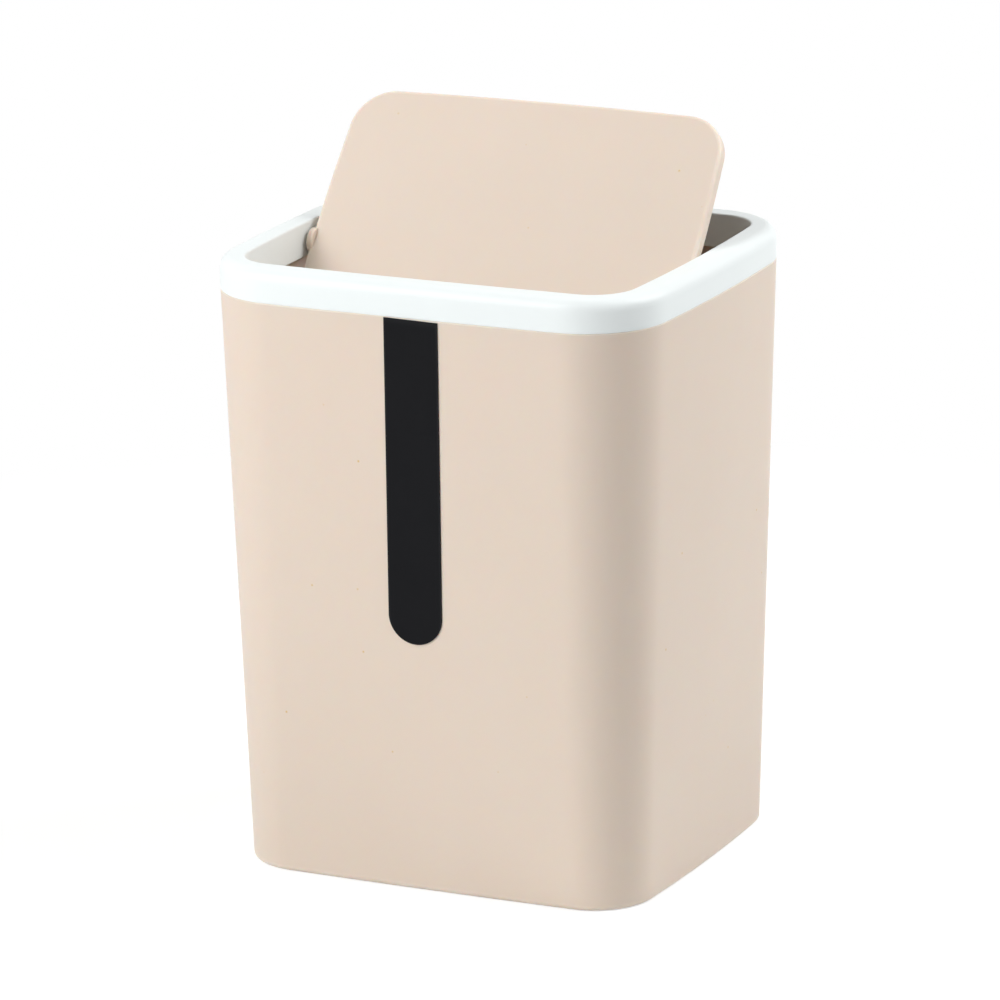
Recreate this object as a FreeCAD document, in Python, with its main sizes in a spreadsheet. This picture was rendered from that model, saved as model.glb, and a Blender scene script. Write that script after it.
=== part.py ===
"""Desktop trash can: a drafted tub, a push-in top ring, a swing lid and a label strip.

Millimetres. The origin is the middle of the base, X to the right, Y to the back, Z up.
The lid stands half open, the way it does while something is dropped in.
"""
import FreeCAD
import Part
import Sketcher

import enum
import math
import os

SIZES = [
    # tub
    ("body_width", 125.0, "outside width of the tub at its upper edge, across the middle"),
    ("body_depth", 109.3, "outside depth of the tub at its upper edge, across the middle"),
    ("body_height", 153.3, "height of the tub's upper edge, where the top ring sits"),
    ("taper", 5.1, "how far the wall leans in, all round, from the upper edge to the base"),
    ("top_corner", 21.5, "plan radius of the corners at the upper edge"),
    ("front_bow", 0.45, "how far the front and back bulge"),
    ("side_bow", 0.85, "how far the two sides bulge"),
    ("wall", 1.8, "wall of the tub"),
    ("floor_thickness", 2.0, "floor of the tub"),
    ("base_bevel", 0.8, "bevel of the outer edge at the base"),
    ("floor_bevel", 2.5, "bevel between the floor and the walls inside"),
    ("base_recess", 1.0, "depth of the hollow under the base"),
    ("foot_width", 6.0, "width of the border that the tub stands on"),
    # top ring
    ("ring_height", 8.6, "height of the top ring above the tub"),
    ("ring_width", 7.4, "width of the ring seen from above"),
    ("ring_wall", 1.8, "outer wall of the ring"),
    ("ring_web", 1.8, "top web of the ring"),
    ("skirt_wall", 1.6, "inner skirt around the mouth"),
    ("skirt_depth", 9.1, "depth of the inner skirt below the ring's top"),
    ("mouth_corner", 11.2, "plan radius of the mouth's corners"),
    ("shoulder_radius", 3.0, "round of the ring's outer upper edge"),
    ("mouth_bevel", 0.5, "bevel of the ring's inner upper edge"),
    ("rib_thickness", 1.4, "locating ribs in the ring's channel"),
    ("rib_reach", 5.5, "how far the ribs reach down into the tub"),
    ("rib_clearance", 0.3, "gap between the foot of the ribs and the inside of the tub"),
    # swing lid
    ("lid_side_gap", 1.4, "gap between the lid and the mouth at the two sides"),
    ("lid_end_gap", 2.0, "gap between the lid and the mouth at the front and back"),
    ("lid_thickness", 3.5, "depth of the lid at its flange"),
    ("lid_skin", 1.8, "thickness of the lid's panel"),
    ("lid_flange", 1.8, "width of the flange round the lid's underside"),
    ("lid_corner_ease", 0.3, "how much rounder the lid's corners are than the mouth's"),
    ("lid_edge_radius", 0.8, "round of the lid's upper edge"),
    ("spine_width", 1.6, "stiffening rib under the lid, from pivot to pivot"),
    ("lid_open_angle", 50.5, "how far the lid is turned from closed, in degrees"),
    # pivots
    ("pivot_drop", 5.3, "depth of the pivot axis below the ring's top"),
    ("boss_radius", 3.5, "round boss that carries a pivot pin on the lid's side"),
    ("boss_inset", 1.0, "how far the boss reaches in from the lid's side"),
    ("boss_side_gap", 0.55, "gap between the boss and the ring's skirt"),
    ("pin_radius", 1.75, "pivot pin"),
    ("pin_clearance", 0.08, "radial running clearance of the pin"),
    ("pin_reach", 1.9, "how far the pin reaches into its socket"),
    ("socket_end_gap", 0.3, "gap between the pin's end and the bottom of its socket"),
    ("socket_wall", 1.2, "wall of the socket round the pin and at its end"),
    # label strip
    ("label_width", 15.0, "width of the strip"),
    ("label_length", 86.0, "length of the strip to the tip of its round end"),
    ("label_thickness", 0.3, "thickness of the strip"),
    ("label_top_gap", 0.3, "gap between the strip and the top ring"),
]
FRONT_RIBS = 4
SIDE_RIBS = 2

# Places that follow from the sizes
SEAT = "Sizes.body_height"
RING_TOP = "(Sizes.body_height + Sizes.ring_height)"
WEB_FOOT = f"({RING_TOP} - Sizes.ring_web)"
SKIRT_FOOT = f"({RING_TOP} - Sizes.skirt_depth)"
RIB_FOOT = f"({SEAT} - Sizes.rib_reach)"
PIVOT_HEIGHT = f"({RING_TOP} - Sizes.pivot_drop)"
FLOOR_TOP = "(Sizes.base_recess + Sizes.floor_thickness)"
MOUTH_SIDE = "(Sizes.body_width / 2 - Sizes.ring_width)"
LID_SIDE = f"({MOUTH_SIDE} - Sizes.lid_side_gap)"
LID_SIDE_OFFSET = "-(Sizes.ring_width + Sizes.lid_side_gap)"
LID_END_OFFSET = "-(Sizes.ring_width + Sizes.lid_end_gap)"
LID_FOOT = "-(Sizes.lid_thickness / 2)"
LID_CORNER = "(Sizes.mouth_corner + Sizes.lid_corner_ease)"
LID_HOLLOW = "(Sizes.lid_thickness - Sizes.lid_skin)"
WIDE = "(2 * Sizes.body_width)"
TALL = "(2 * Sizes.body_height)"

NEAR = 1e-4


class Fixed(enum.IntEnum):
    """A sketch's own elements."""
    X_AXIS = -1
    Y_AXIS = -2


class Point(enum.IntEnum):
    """The points of a sketched line, circle or arc. The origin is the first axis's start."""
    START = 1
    END = 2
    CENTRE = 3


doc = FreeCAD.newDocument("DesktopTrashCan")
sheet = doc.addObject("Spreadsheet::Sheet", "Sizes")


def fill_sheet():
    """Writes each driving size to the sheet with its name and meaning."""
    for row, (alias, number, meaning) in enumerate(SIZES, start=1):
        sheet.set(f"A{row}", alias)
        sheet.set(f"B{row}", str(number))
        sheet.set(f"C{row}", meaning)
        sheet.setAlias(f"B{row}", alias)
    doc.recompute()


def value(expression):
    """The number that an expression of the sheet's sizes gives."""
    return float(sheet.evalExpression(expression))


# Sketches

def new_body(label):
    """An empty body whose label names the piece."""
    body = doc.addObject("PartDesign::Body", label)
    body.Label = label
    return body


def new_sketch(body, name, role="XY_Plane", offset="0"):
    """A sketch on one of the body's origin planes, moved along the plane's normal."""
    sketch = body.newObject("Sketcher::SketchObject", name)
    plane = next(p for p in body.Origin.OriginFeatures if p.Role == role)
    sketch.AttachmentSupport = [(plane, "")]
    sketch.MapMode = "FlatFace"
    sketch.setExpression("AttachmentOffset.Base.z", offset)
    return sketch


def bind(sketch, constraint, expression):
    """Adds a sized constraint and ties its size to the sheet."""
    index = sketch.addConstraint(constraint)
    sketch.setExpression(f"Constraints[{index}]", expression)


def place(sketch, kind, element, end, expression):
    """Sets how far a point lies from the sketch's origin, along X or along Y."""
    number = value(expression)
    point = (element, end)
    origin = (Fixed.X_AXIS, Point.START)
    if number < 0:
        bind(sketch, Sketcher.Constraint(kind, *point, *origin, -number), f"-({expression})")
    else:
        bind(sketch, Sketcher.Constraint(kind, *origin, *point, number), expression)


def joined(sketch, elements, kind):
    """Joins each element's end to the next one's start, in a closed chain."""
    for this, following in zip(elements, elements[1:] + elements[:1]):
        sketch.addConstraint(Sketcher.Constraint(kind, this, Point.END, following, Point.START))


def draw_rectangle(sketch, x_low, x_high, y_low, y_high):
    """Draws an upright rectangle, with its four sides placed from the sketch's origin."""
    left, right, low, high = (value(side) for side in (x_low, x_high, y_low, y_high))
    corners = [
        FreeCAD.Vector(left, low, 0),
        FreeCAD.Vector(right, low, 0),
        FreeCAD.Vector(right, high, 0),
        FreeCAD.Vector(left, high, 0),
    ]
    sides = [
        sketch.addGeometry(Part.LineSegment(start, end), False)
        for start, end in zip(corners, corners[1:] + corners[:1])
    ]
    joined(sketch, sides, "Coincident")
    for level in (sides[0], sides[2]):
        sketch.addConstraint(Sketcher.Constraint("Horizontal", level))
    for upright in (sides[1], sides[3]):
        sketch.addConstraint(Sketcher.Constraint("Vertical", upright))
    place(sketch, "DistanceX", sides[0], Point.START, x_low)
    place(sketch, "DistanceX", sides[0], Point.END, x_high)
    place(sketch, "DistanceY", sides[0], Point.START, y_low)
    place(sketch, "DistanceY", sides[2], Point.START, y_high)


def draw_circle(sketch, radius, height="0"):
    """Draws a circle on the sketch's upright axis, at a height."""
    centre = FreeCAD.Vector(0, value(height), 0)
    circle = sketch.addGeometry(Part.Circle(centre, FreeCAD.Vector(0, 0, 1), value(radius)), False)
    sketch.addConstraint(Sketcher.Constraint("PointOnObject", circle, Point.CENTRE, Fixed.Y_AXIS))
    if abs(centre.y) < NEAR:
        sketch.addConstraint(Sketcher.Constraint("PointOnObject", circle, Point.CENTRE, Fixed.X_AXIS))
    else:
        place(sketch, "DistanceY", circle, Point.CENTRE, height)
    bind(sketch, Sketcher.Constraint("Radius", circle, value(radius)), radius)


# The bowed plan that the tub, the ring, the mouth and the lid share

def leaning(height):
    """How far the tub's wall has leant in from the upper edge at a height."""
    return f"(Sizes.taper * (1 - ({height}) / Sizes.body_height))"


def outline(offset="0", corner=None, ends=None):
    """The tub's bowed plan at its upper edge, moved outwards by an offset.

    Four long arcs make the bowed sides and four short ones the corners. An offset keeps
    every centre and changes every radius, so that the moved plan runs parallel. The
    corners may have a radius of their own, and the front and back an offset of their own.
    """
    half_width = "(Sizes.body_width / 2)"
    half_depth = "(Sizes.body_depth / 2)"
    front_run = f"({half_width} - Sizes.top_corner)"
    side_run = f"({half_depth} - Sizes.top_corner)"
    front_radius = f"(({front_run}^2 + Sizes.front_bow^2) / (2 * Sizes.front_bow))"
    side_radius = f"(({side_run}^2 + Sizes.side_bow^2) / (2 * Sizes.side_bow))"
    return {
        "front_radius": f"{front_radius} + ({ends or offset})",
        "side_radius": f"{side_radius} + ({offset})",
        "front_centre": f"{front_radius} - {half_depth}",
        "side_centre": f"{side_radius} - {half_width}",
        "corner": corner or f"Sizes.top_corner + ({offset})",
    }


def corner_centre(sizes):
    """Centre of the right rear corner: its arc touches both long arcs from inside."""
    rear = FreeCAD.Vector(0, -sizes["front_centre"], 0)
    right = FreeCAD.Vector(-sizes["side_centre"], 0, 0)
    rear_reach = sizes["front_radius"] - sizes["corner"]
    right_reach = sizes["side_radius"] - sizes["corner"]
    span = right - rear
    along = (rear_reach**2 - right_reach**2 + span.Length**2) / (2 * span.Length)
    across = math.sqrt(rear_reach**2 - along**2)
    step = span / span.Length
    return rear + step * along + FreeCAD.Vector(step.y, -step.x, 0) * across


def draw_outline(sketch, plan):
    """Draws a plan of eight arcs, each running smoothly into the next, tied to the sheet."""
    sizes = {name: value(expression) for name, expression in plan.items()}
    corner = corner_centre(sizes)
    rear_turn = math.atan2(corner.y + sizes["front_centre"], corner.x)
    side_turn = math.atan2(corner.y, corner.x + sizes["side_centre"])
    half = math.pi

    def arc(x, y, radius, start, end):
        circle = Part.Circle(FreeCAD.Vector(x, y, 0), FreeCAD.Vector(0, 0, 1), sizes[radius])
        return sketch.addGeometry(Part.ArcOfCircle(circle, start, end), False)

    right = arc(-sizes["side_centre"], 0, "side_radius", -side_turn, side_turn)
    right_rear = arc(corner.x, corner.y, "corner", side_turn, rear_turn)
    rear = arc(0, -sizes["front_centre"], "front_radius", rear_turn, half - rear_turn)
    left_rear = arc(-corner.x, corner.y, "corner", half - rear_turn, half - side_turn)
    left = arc(sizes["side_centre"], 0, "side_radius", half - side_turn, half + side_turn)
    left_front = arc(-corner.x, -corner.y, "corner", half + side_turn, half + rear_turn)
    front = arc(0, sizes["front_centre"], "front_radius", half + rear_turn, -rear_turn)
    right_front = arc(corner.x, -corner.y, "corner", -rear_turn, -side_turn)

    joined(sketch, [right, right_rear, rear, left_rear, left, left_front, front, right_front], "Tangent")
    for side, sign in ((front, ""), (rear, "-")):
        sketch.addConstraint(Sketcher.Constraint("PointOnObject", side, Point.CENTRE, Fixed.Y_AXIS))
        place(sketch, "DistanceY", side, Point.CENTRE, f"{sign}({plan['front_centre']})")
        bind(sketch, Sketcher.Constraint("Radius", side, sizes["front_radius"]), plan["front_radius"])
    for side, sign in ((left, ""), (right, "-")):
        sketch.addConstraint(Sketcher.Constraint("PointOnObject", side, Point.CENTRE, Fixed.X_AXIS))
        place(sketch, "DistanceX", side, Point.CENTRE, f"{sign}({plan['side_centre']})")
        bind(sketch, Sketcher.Constraint("Radius", side, sizes["side_radius"]), plan["side_radius"])
    for each in (right_rear, left_rear, left_front, right_front):
        bind(sketch, Sketcher.Constraint("Radius", each, sizes["corner"]), plan["corner"])


def outline_sketch(body, name, height, *plans):
    """A level sketch at a height, holding one plan or two nested ones."""
    sketch = new_sketch(body, name, "XY_Plane", height)
    for plan in plans:
        draw_outline(sketch, plan)
    return sketch


# Features

def pad(body, name, sketch, length, backwards=False):
    """Thickens a sketch along its normal, or backwards."""
    feature = body.newObject("PartDesign::Pad", name)
    feature.Profile = sketch
    feature.setExpression("Length", length)
    feature.Reversed = backwards
    feature.Refine = True
    return feature


def pocket(body, name, sketch, length, forwards=False):
    """Cuts a sketch's area away against its normal, or forwards along it."""
    feature = body.newObject("PartDesign::Pocket", name)
    feature.Profile = sketch
    feature.setExpression("Length", length)
    feature.Reversed = forwards
    feature.Refine = True
    return feature


def loft(body, name, kind, lower, upper):
    """Adds or cuts a straight-sided body between two plans."""
    feature = body.newObject(f"PartDesign::{kind}Loft", name)
    feature.Profile = lower
    feature.Sections = [upper]
    feature.Ruled = True
    return feature


def level_edges(shape, height, inner=False):
    """Names of the edges round the flat face at a height: its outer ones, or those of its hole."""
    def is_level(face):
        box = face.BoundBox
        return abs(box.ZMin - height) < NEAR and abs(box.ZMax - height) < NEAR

    face = max((f for f in shape.Faces if is_level(f)), key=lambda f: f.BoundBox.DiagonalLength)
    outer = face.OuterWire
    wires = [w for w in face.Wires if w.isSame(outer) != inner]
    wanted = [edge for wire in wires for edge in wire.Edges]
    return [
        f"Edge{number}" for number, edge in enumerate(shape.Edges, start=1)
        if any(edge.isSame(other) for other in wanted)
    ]


def rounded(body, name, base, radius, height, inner=False):
    """Rounds the edges of the flat face at a height."""
    doc.recompute()
    feature = body.newObject("PartDesign::Fillet", name)
    feature.Base = (base, level_edges(base.Shape, value(height), inner))
    feature.setExpression("Radius", radius)
    return feature


def bevelled(body, name, base, size, height, inner=False):
    """Bevels the edges of the flat face at a height."""
    doc.recompute()
    feature = body.newObject("PartDesign::Chamfer", name)
    feature.Base = (base, level_edges(base.Shape, value(height), inner))
    feature.setExpression("Size", size)
    return feature


# Pieces

def make_tub():
    """The drafted tub: bowed sides, an even wall, a bevelled floor and a hollow under the base."""
    body = new_body("bin_body")
    base = outline_sketch(body, "tub_base", "0", outline("-Sizes.taper"))
    top = outline_sketch(body, "tub_top", SEAT, outline())
    loft(body, "tub_block", "Additive", base, top)
    at_floor = f"-({leaning(FLOOR_TOP)} + Sizes.wall)"
    inner_base = outline_sketch(body, "inside_base", FLOOR_TOP, outline(at_floor))
    inner_top = outline_sketch(body, "inside_top", SEAT, outline("-Sizes.wall"))
    loft(body, "tub_inside", "Subtractive", inner_base, inner_top)
    hollow = outline_sketch(body, "base_hollow", "0", outline("-(Sizes.taper + Sizes.foot_width)"))
    cut = pocket(body, "base_recess", hollow, "Sizes.base_recess", forwards=True)
    edge = bevelled(body, "base_edge", cut, "Sizes.base_bevel", "0")
    bevelled(body, "floor_edge", edge, "Sizes.floor_bevel", FLOOR_TOP)
    return body


def rib_places(run, count):
    """Places of ribs, each in the middle of its share of a straight run about the axis."""
    return [f"({run}) * ({2 * index + 1} / {count} - 1)" for index in range(count)]


def add_ribs(body):
    """Bars across the ring, trimmed to locating ribs that hang into the tub."""
    half_rib = "Sizes.rib_thickness / 2"
    long_reach = "(Sizes.body_depth / 2 - Sizes.ring_wall / 2)"
    wide_reach = "(Sizes.body_width / 2 - Sizes.ring_wall / 2)"
    front_run = "Sizes.body_width / 2 - Sizes.top_corner"
    side_run = "Sizes.body_depth / 2 - Sizes.top_corner"
    bar_length = f"{WEB_FOOT} - {RIB_FOOT}"

    long_bars = new_sketch(body, "long_bars", "XY_Plane", RIB_FOOT)
    for middle in rib_places(front_run, FRONT_RIBS):
        draw_rectangle(long_bars, f"{middle} - {half_rib}", f"{middle} + {half_rib}",
                       f"-{long_reach}", long_reach)
    pad(body, "front_and_back_ribs", long_bars, bar_length)
    cross_bars = new_sketch(body, "cross_bars", "XY_Plane", RIB_FOOT)
    for middle in rib_places(side_run, SIDE_RIBS):
        draw_rectangle(cross_bars, f"-{wide_reach}", wide_reach,
                       f"{middle} - {half_rib}", f"{middle} + {half_rib}")
    pad(body, "side_ribs", cross_bars, bar_length)

    mouth = outline_sketch(body, "mouth_trim", RING_TOP, mouth_outline())
    pocket(body, "mouth", mouth, f"{RING_TOP} - {RIB_FOOT}")
    behind_skirt = outline_sketch(body, "skirt_trim", SKIRT_FOOT, channel_outline())
    pocket(body, "ribs_behind_skirt", behind_skirt, f"{RING_TOP} - {RIB_FOOT}")
    at_foot = f"-({leaning(RIB_FOOT)} + Sizes.wall + Sizes.rib_clearance)"
    inside_tub = outline_sketch(body, "tub_trim", SEAT, outline(at_foot))
    draw_rectangle(inside_tub, f"-{WIDE}", WIDE, f"-{WIDE}", WIDE)
    pocket(body, "ribs_inside_tub", inside_tub, "Sizes.rib_reach")


def mouth_outline():
    """The plan of the mouth, inside the ring's skirt."""
    return outline("-Sizes.ring_width", "Sizes.mouth_corner")


def channel_outline():
    """The plan of the skirt's outer face, in the ring's channel."""
    return outline("-(Sizes.ring_width - Sizes.skirt_wall)", "(Sizes.mouth_corner + Sizes.skirt_wall)")


def make_ring():
    """The top ring: an upturned channel with locating ribs and two pivot sockets."""
    body = new_body("rim_ring")
    web = outline_sketch(body, "ring_plan", WEB_FOOT, outline(), mouth_outline())
    pad(body, "web", web, "Sizes.ring_web")
    wall = outline_sketch(body, "wall_plan", SEAT, outline(), outline("-Sizes.ring_wall"))
    pad(body, "outer_wall", wall, "Sizes.ring_height")
    skirt = outline_sketch(body, "skirt_plan", SKIRT_FOOT, channel_outline(), mouth_outline())
    pad(body, "skirt", skirt, "Sizes.skirt_depth")
    add_ribs(body)

    bore = "(Sizes.pin_radius + Sizes.pin_clearance)"
    depth = "(Sizes.pin_reach + Sizes.socket_end_gap)"
    for side, sign in (("right", ""), ("left", "-")):
        to_left = sign == "-"
        start = f"{sign}({MOUTH_SIDE} + Sizes.skirt_wall / 2)"
        socket = new_sketch(body, f"{side}_socket_plan", "YZ_Plane", start)
        draw_circle(socket, f"{bore} + Sizes.socket_wall", PIVOT_HEIGHT)
        length = f"{depth} + Sizes.socket_wall - Sizes.skirt_wall / 2"
        pad(body, f"{side}_socket", socket, length, backwards=to_left)
    for side, sign in (("right", ""), ("left", "-")):
        hole = new_sketch(body, f"{side}_bore_plan", "YZ_Plane", f"{sign}{LID_SIDE}")
        draw_circle(hole, bore, PIVOT_HEIGHT)
        last = pocket(body, f"{side}_bore", hole, f"Sizes.lid_side_gap + {depth}", forwards=sign == "")
    shoulder = rounded(body, "shoulder", last, "Sizes.shoulder_radius", RING_TOP)
    bevelled(body, "mouth_edge", shoulder, "Sizes.mouth_bevel", RING_TOP, inner=True)
    return body


def make_lid():
    """The swing lid: a flanged panel with a spine, and a boss and pin at each side.

    It is drawn level about its pivot axis, then turned open and set between the sockets.
    """
    body = new_body("swing_lid")
    panel = outline_sketch(body, "lid_plan", LID_FOOT, outline(LID_SIDE_OFFSET, LID_CORNER, LID_END_OFFSET))
    pad(body, "panel", panel, "Sizes.lid_thickness")
    flange = "- Sizes.lid_flange"
    inside = outline(f"{LID_SIDE_OFFSET} {flange}", f"({LID_CORNER} {flange})", f"{LID_END_OFFSET} {flange}")
    hollow = outline_sketch(body, "lid_hollow", LID_FOOT, inside)
    cut = pocket(body, "underside", hollow, LID_HOLLOW, forwards=True)
    rounded(body, "upper_edge", cut, "Sizes.lid_edge_radius", "Sizes.lid_thickness / 2")

    spine = new_sketch(body, "spine_plan", "XY_Plane", LID_FOOT)
    reach = f"({LID_SIDE} - Sizes.lid_flange / 2)"
    draw_rectangle(spine, f"-{reach}", reach, "-Sizes.spine_width / 2", "Sizes.spine_width / 2")
    pad(body, "spine", spine, LID_HOLLOW)
    for side, sign in (("right", ""), ("left", "-")):
        to_left = sign == "-"
        boss = new_sketch(body, f"{side}_boss_plan", "YZ_Plane", f"{sign}({LID_SIDE} - Sizes.boss_inset)")
        draw_circle(boss, "Sizes.boss_radius")
        proud = "(Sizes.lid_side_gap - Sizes.boss_side_gap)"
        pad(body, f"{side}_boss", boss, f"Sizes.boss_inset + {proud}", backwards=to_left)
        pin = new_sketch(body, f"{side}_pin_plan", "YZ_Plane", f"{sign}({LID_SIDE} + {proud})")
        draw_circle(pin, "Sizes.pin_radius")
        pad(body, f"{side}_pin", pin, "Sizes.boss_side_gap + Sizes.pin_reach", backwards=to_left)

    opened = FreeCAD.Rotation(FreeCAD.Vector(1, 0, 0), value("Sizes.lid_open_angle"))
    body.Placement = FreeCAD.Placement(FreeCAD.Vector(0, 0, value(PIVOT_HEIGHT)), opened)
    body.setExpression("Placement.Base.z", PIVOT_HEIGHT)
    body.setExpression("Placement.Rotation.Angle", "Sizes.lid_open_angle")
    return body


def draw_strip(sketch):
    """Draws the strip's outline: a straight top, two long sides and a half-round lower end."""
    half = "Sizes.label_width / 2"
    top = f"({SEAT} - Sizes.label_top_gap)"
    end_centre = f"({top} - Sizes.label_length + {half})"
    side, high, low = value(half), value(top), value(end_centre)
    up = FreeCAD.Vector(0, 0, 1)
    circle = Part.Circle(FreeCAD.Vector(0, low, 0), up, side)
    upper = sketch.addGeometry(
        Part.LineSegment(FreeCAD.Vector(side, high, 0), FreeCAD.Vector(-side, high, 0)), False)
    left = sketch.addGeometry(
        Part.LineSegment(FreeCAD.Vector(-side, high, 0), FreeCAD.Vector(-side, low, 0)), False)
    end = sketch.addGeometry(Part.ArcOfCircle(circle, math.pi, 2 * math.pi), False)
    right = sketch.addGeometry(
        Part.LineSegment(FreeCAD.Vector(side, low, 0), FreeCAD.Vector(side, high, 0)), False)
    sketch.addConstraint(Sketcher.Constraint("Coincident", upper, Point.END, left, Point.START))
    sketch.addConstraint(Sketcher.Constraint("Tangent", left, Point.END, end, Point.START))
    sketch.addConstraint(Sketcher.Constraint("Tangent", end, Point.END, right, Point.START))
    sketch.addConstraint(Sketcher.Constraint("Coincident", right, Point.END, upper, Point.START))
    sketch.addConstraint(Sketcher.Constraint("Horizontal", upper))
    for upright in (left, right):
        sketch.addConstraint(Sketcher.Constraint("Vertical", upright))
    sketch.addConstraint(Sketcher.Constraint("PointOnObject", end, Point.CENTRE, Fixed.Y_AXIS))
    place(sketch, "DistanceY", end, Point.CENTRE, end_centre)
    place(sketch, "DistanceY", upper, Point.START, top)
    bind(sketch, Sketcher.Constraint("Radius", end, side), half)


def make_label():
    """The label strip: a thin skin of the tub's front, cut to the strip's outline."""
    body = new_body("label_strip")
    grown_base = outline_sketch(body, "skin_base", "0", outline("-Sizes.taper + Sizes.label_thickness"))
    grown_top = outline_sketch(body, "skin_top", SEAT, outline("Sizes.label_thickness"))
    loft(body, "skin_block", "Additive", grown_base, grown_top)
    base = outline_sketch(body, "front_base", "0", outline("-Sizes.taper"))
    top = outline_sketch(body, "front_top", SEAT, outline())
    loft(body, "skin", "Subtractive", base, top)
    rear = new_sketch(body, "rear_area", "XZ_Plane")
    draw_rectangle(rear, f"-{WIDE}", WIDE, f"-{TALL}", TALL)
    pocket(body, "front_half", rear, "Sizes.body_depth")
    around = new_sketch(body, "strip_outline", "XZ_Plane")
    draw_rectangle(around, f"-{WIDE}", WIDE, f"-{TALL}", TALL)
    draw_strip(around)
    pocket(body, "strip", around, "Sizes.body_depth", forwards=True)
    return body


def check(pieces):
    """Stops if a feature failed, cut or added nothing, or left a piece in more than one solid."""
    for item in doc.Objects:
        if {"Invalid", "Error"} & set(item.State):
            raise RuntimeError(f"{item.Label} failed: {item.State}")
        before = getattr(item, "BaseFeature", None)
        if before is None or item.isDerivedFrom("PartDesign::Body"):
            continue
        change = item.Shape.Volume - before.Shape.Volume
        adds = item.TypeId in ("PartDesign::Pad", "PartDesign::AdditiveLoft")
        cuts = item.TypeId in ("PartDesign::Pocket", "PartDesign::SubtractiveLoft")
        if (adds and change < NEAR) or (cuts and change > -NEAR):
            raise RuntimeError(f"{item.Label} changed the volume by {change}")
    for piece in pieces:
        shape = piece.Shape
        if shape.isNull() or not shape.isValid() or len(shape.Solids) != 1:
            raise RuntimeError(f"{piece.Label} is not one valid solid")


fill_sheet()
PIECES = [make_tub(), make_ring(), make_lid(), make_label()]
doc.recompute()
check(PIECES)
os.makedirs("parts", exist_ok=True)
for piece in PIECES:
    piece.Shape.exportStep(f"parts/{piece.Label}.step")
    print(f"{piece.Label}: {piece.Shape.Volume:.0f} cubic mm, {len(piece.Shape.Faces)} faces")
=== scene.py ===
"""Looks of a desktop trash can: a drafted tub, a push-in top ring, a swing lid and a label strip.

Sizes are in millimetres and the scene is in metres. The origin is the middle of the base, X to the
right, Y to the back, Z up. The lid stands half open.
"""

import logging
import math
from dataclasses import dataclass, field
from enum import Enum
from functools import reduce

import bpy
import numpy as np
from mathutils import Matrix, Vector


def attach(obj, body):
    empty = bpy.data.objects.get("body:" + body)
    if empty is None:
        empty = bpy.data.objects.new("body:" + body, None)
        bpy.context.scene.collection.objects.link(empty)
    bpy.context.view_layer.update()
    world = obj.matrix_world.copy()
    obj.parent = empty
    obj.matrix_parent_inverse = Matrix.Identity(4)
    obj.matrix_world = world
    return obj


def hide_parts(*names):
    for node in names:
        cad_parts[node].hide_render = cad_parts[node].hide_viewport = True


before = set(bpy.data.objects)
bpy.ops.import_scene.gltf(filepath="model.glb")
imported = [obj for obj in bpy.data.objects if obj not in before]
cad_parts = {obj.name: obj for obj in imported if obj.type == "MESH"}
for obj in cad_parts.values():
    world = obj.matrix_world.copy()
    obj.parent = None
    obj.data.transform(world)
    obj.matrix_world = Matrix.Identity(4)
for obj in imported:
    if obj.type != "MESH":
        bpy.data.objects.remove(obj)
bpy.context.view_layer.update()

MM = 0.001
LOG = logging.getLogger("trash_can")
Array = np.ndarray
Material = bpy.types.Material
Socket = bpy.types.NodeSocket

# Shares of its size to which a loop is drawn in, towards the middle of a flat face
MIDDLE_SHARES = (0.35, 0.7)
# Radius at which a turned section starts and ends, next to its axis
AXIS_RADIUS = 0.05
# Spans and guard of the small rounds of ribs and bars
FINE_STEPS = 4
FINE_GUARD = 0.02
# Round of edges that lie inside another solid
HIDDEN_ROUND = 0.05
# The part of its range that a noise texture mostly fills
NOISE_RANGE = (0.3, 0.7)


class Body(Enum):
    """The bodies that move against each other."""

    BIN = "bin"
    RIM = "rim"
    LID = "lid"


class Slot(Enum):
    """The finishes of the three mouldings and the film."""

    BEIGE = "beige_plastic"
    WHITE = "white_plastic"
    BLACK = "black_film"


class Join(Enum):
    """What one solid does to another."""

    ADD = "UNION"
    CUT = "DIFFERENCE"


# Surfaces


@dataclass
class Surface:
    """A closed surface in millimetres.

    points has a vertex in each row, quads and triangles the numbers of their corners, and caps are
    many-sided faces.
    """

    points: Array
    quads: Array
    triangles: Array = field(default_factory=lambda: np.zeros((0, 3), int))
    caps: list[list[int]] = field(default_factory=list)

    def joined(self, other: "Surface") -> "Surface":
        """Returns both surfaces as one, the other's corner numbers moved past this one's."""
        shift = len(self.points)
        return Surface(
            np.vstack([self.points, other.points]),
            np.vstack([self.quads, other.quads + shift]),
            np.vstack([self.triangles, other.triangles + shift]),
            self.caps + [[corner + shift for corner in cap] for cap in other.caps],
        )

    def moved(self, turn: Array, shift: Array) -> "Surface":
        """Returns the surface turned by a 3 by 3 rotation about the origin, then shifted."""
        return Surface(self.points @ turn.T + shift, self.quads, self.triangles, self.caps)

    def paired(self) -> "Surface":
        """Returns the surface and its copy turned half round about Z, as one."""
        return self.joined(self.moved(np.diag([-1.0, -1.0, 1.0]), np.zeros(3)))


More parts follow.
